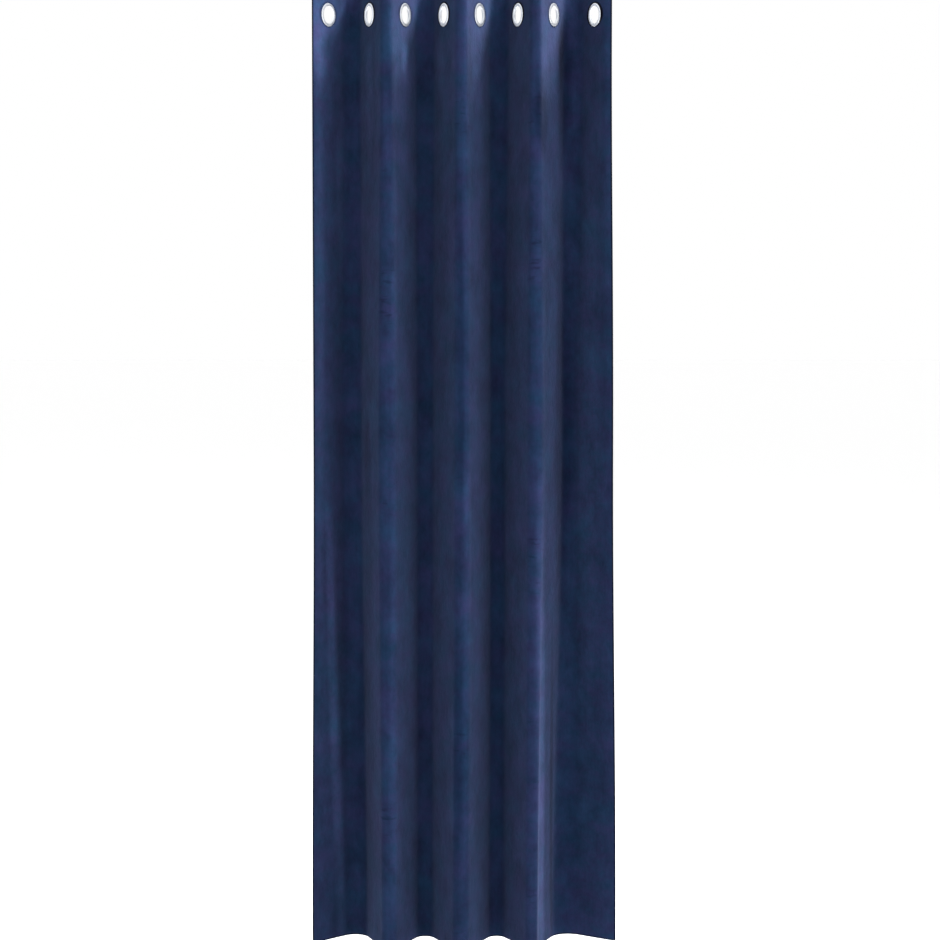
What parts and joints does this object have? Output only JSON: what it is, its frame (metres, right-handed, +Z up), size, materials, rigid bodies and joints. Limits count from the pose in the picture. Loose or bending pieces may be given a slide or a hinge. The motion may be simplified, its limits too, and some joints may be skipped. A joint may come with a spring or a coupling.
{
  "type": "eyelet curtain",
  "caption": "Floor-length velvet curtain panel hanging in soft vertical folds, with silver metal rings through its stiffened heading for a rod.",
  "frame": {"origin": "middle of the straight line through the centres of the rings, where a rod passes, 60 mm below the top edge", "axes": "+X along the width of the hung curtain and along the rod, -Y towards the room, +Z up"},
  "size_m": [0.8055, 0.1733, 2.5],
  "materials": {
    "velvet": "navy velvet, short dense pile, soft sheen on the folds",
    "ring_metal": "bright silver with a satin polish"
  },
  "bodies": {
    "root": {"panel": "velvet", "heading": "velvet", "eyelet_1": "ring_metal", "eyelet_2": "ring_metal", "eyelet_3": "ring_metal", "eyelet_4": "ring_metal", "eyelet_5": "ring_metal", "eyelet_6": "ring_metal", "eyelet_7": "ring_metal", "eyelet_8": "ring_metal"}
  },
  "joints": []
}
